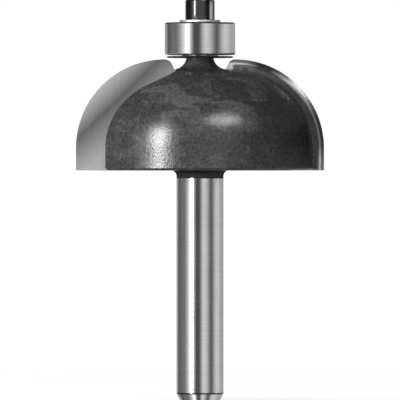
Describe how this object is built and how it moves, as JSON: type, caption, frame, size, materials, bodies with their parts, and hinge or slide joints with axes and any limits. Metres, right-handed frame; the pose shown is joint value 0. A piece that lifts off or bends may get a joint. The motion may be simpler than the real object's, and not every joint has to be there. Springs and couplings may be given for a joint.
{
  "type": "router bit",
  "caption": "Bearing-guided cove cutter for wood: domed steel body, brazed carbide tips, round shank and a guide bearing held by a socket screw.",
  "frame": {"origin": "centre of the shank's end face", "axes": "+Z along the cutter's axis from the shank end to the guide bearing; the cutting faces lie in the XZ plane"},
  "size_m": [0.0336, 0.0308, 0.0542],
  "materials": {
    "body_steel": "satin dark grey coating on the head, ground bright steel on the shank",
    "carbide": "fine ground tungsten carbide",
    "black_oxide": "smooth black oxide",
    "bearing_steel": "polished bearing steel",
    "ball_steel": "lapped steel",
    "cage_steel": "stamped steel strip",
    "shield_steel": "stamped stainless steel",
    "washer_steel": "bright stamped steel"
  },
  "bodies": {
    "bit": {"bit_body": "body_steel", "carbide_tip_1": "carbide", "carbide_tip_2": "carbide", "slinger_washer": "black_oxide", "bearing_inner_ring": "bearing_steel", "clamp_washer": "washer_steel", "cap_screw": "black_oxide"},
    "outer_ring": {"bearing_outer_ring": "bearing_steel", "shield_lower": "shield_steel", "shield_upper": "shield_steel", "snap_ring_lower": "shield_steel", "snap_ring_upper": "shield_steel"},
    "cage": {"cage_lower": "cage_steel", "cage_upper": "cage_steel"},
    "rolling_ball_1": {"ball_1": "ball_steel"},
    "rolling_ball_2": {"ball_2": "ball_steel"},
    "rolling_ball_3": {"ball_3": "ball_steel"},
    "rolling_ball_4": {"ball_4": "ball_steel"},
    "rolling_ball_5": {"ball_5": "ball_steel"},
    "rolling_ball_6": {"ball_6": "ball_steel"},
    "rolling_ball_7": {"ball_7": "ball_steel"}
  },
  "joints": [
    {"name": "outer_ring_spin", "type": "hinge", "parent": "bit", "child": "outer_ring", "pos_m": [0, 0, 0.04888], "axis": [0, 0, 1], "continuous": true},
    {"name": "cage_spin", "type": "hinge", "parent": "bit", "child": "cage", "pos_m": [0, 0, 0.04888], "axis": [0, 0, 1], "continuous": true},
    {"name": "ball_1_spin", "type": "hinge", "parent": "cage", "child": "rolling_ball_1", "pos_m": [0.00317, 0, 0.04888], "axis": [0, 0, 1], "continuous": true},
    {"name": "ball_2_spin", "type": "hinge", "parent": "cage", "child": "rolling_ball_2", "pos_m": [0.00198, 0.00248, 0.04888], "axis": [0, 0, 1], "continuous": true},
    {"name": "ball_3_spin", "type": "hinge", "parent": "cage", "child": "rolling_ball_3", "pos_m": [-0.00071, 0.0031, 0.04888], "axis": [0, 0, 1], "continuous": true},
    {"name": "ball_4_spin", "type": "hinge", "parent": "cage", "child": "rolling_ball_4", "pos_m": [-0.00286, 0.00138, 0.04888], "axis": [0, 0, 1], "continuous": true},
    {"name": "ball_5_spin", "type": "hinge", "parent": "cage", "child": "rolling_ball_5", "pos_m": [-0.00286, -0.00138, 0.04888], "axis": [0, 0, 1], "continuous": true},
    {"name": "ball_6_spin", "type": "hinge", "parent": "cage", "child": "rolling_ball_6", "pos_m": [-0.00071, -0.0031, 0.04888], "axis": [0, 0, 1], "continuous": true},
    {"name": "ball_7_spin", "type": "hinge", "parent": "cage", "child": "rolling_ball_7", "pos_m": [0.00198, -0.00248, 0.04888], "axis": [0, 0, 1], "continuous": true}
  ],
  "couplings": [
    {"joint": "cage_spin", "follows": "outer_ring_spin", "ratio": 0.625},
    {"joint": "ball_1_spin", "follows": "outer_ring_spin", "ratio": 1.875},
    {"joint": "ball_2_spin", "follows": "outer_ring_spin", "ratio": 1.875},
    {"joint": "ball_3_spin", "follows": "outer_ring_spin", "ratio": 1.875},
    {"joint": "ball_4_spin", "follows": "outer_ring_spin", "ratio": 1.875},
    {"joint": "ball_5_spin", "follows": "outer_ring_spin", "ratio": 1.875},
    {"joint": "ball_6_spin", "follows": "outer_ring_spin", "ratio": 1.875},
    {"joint": "ball_7_spin", "follows": "outer_ring_spin", "ratio": 1.875}
  ]
}
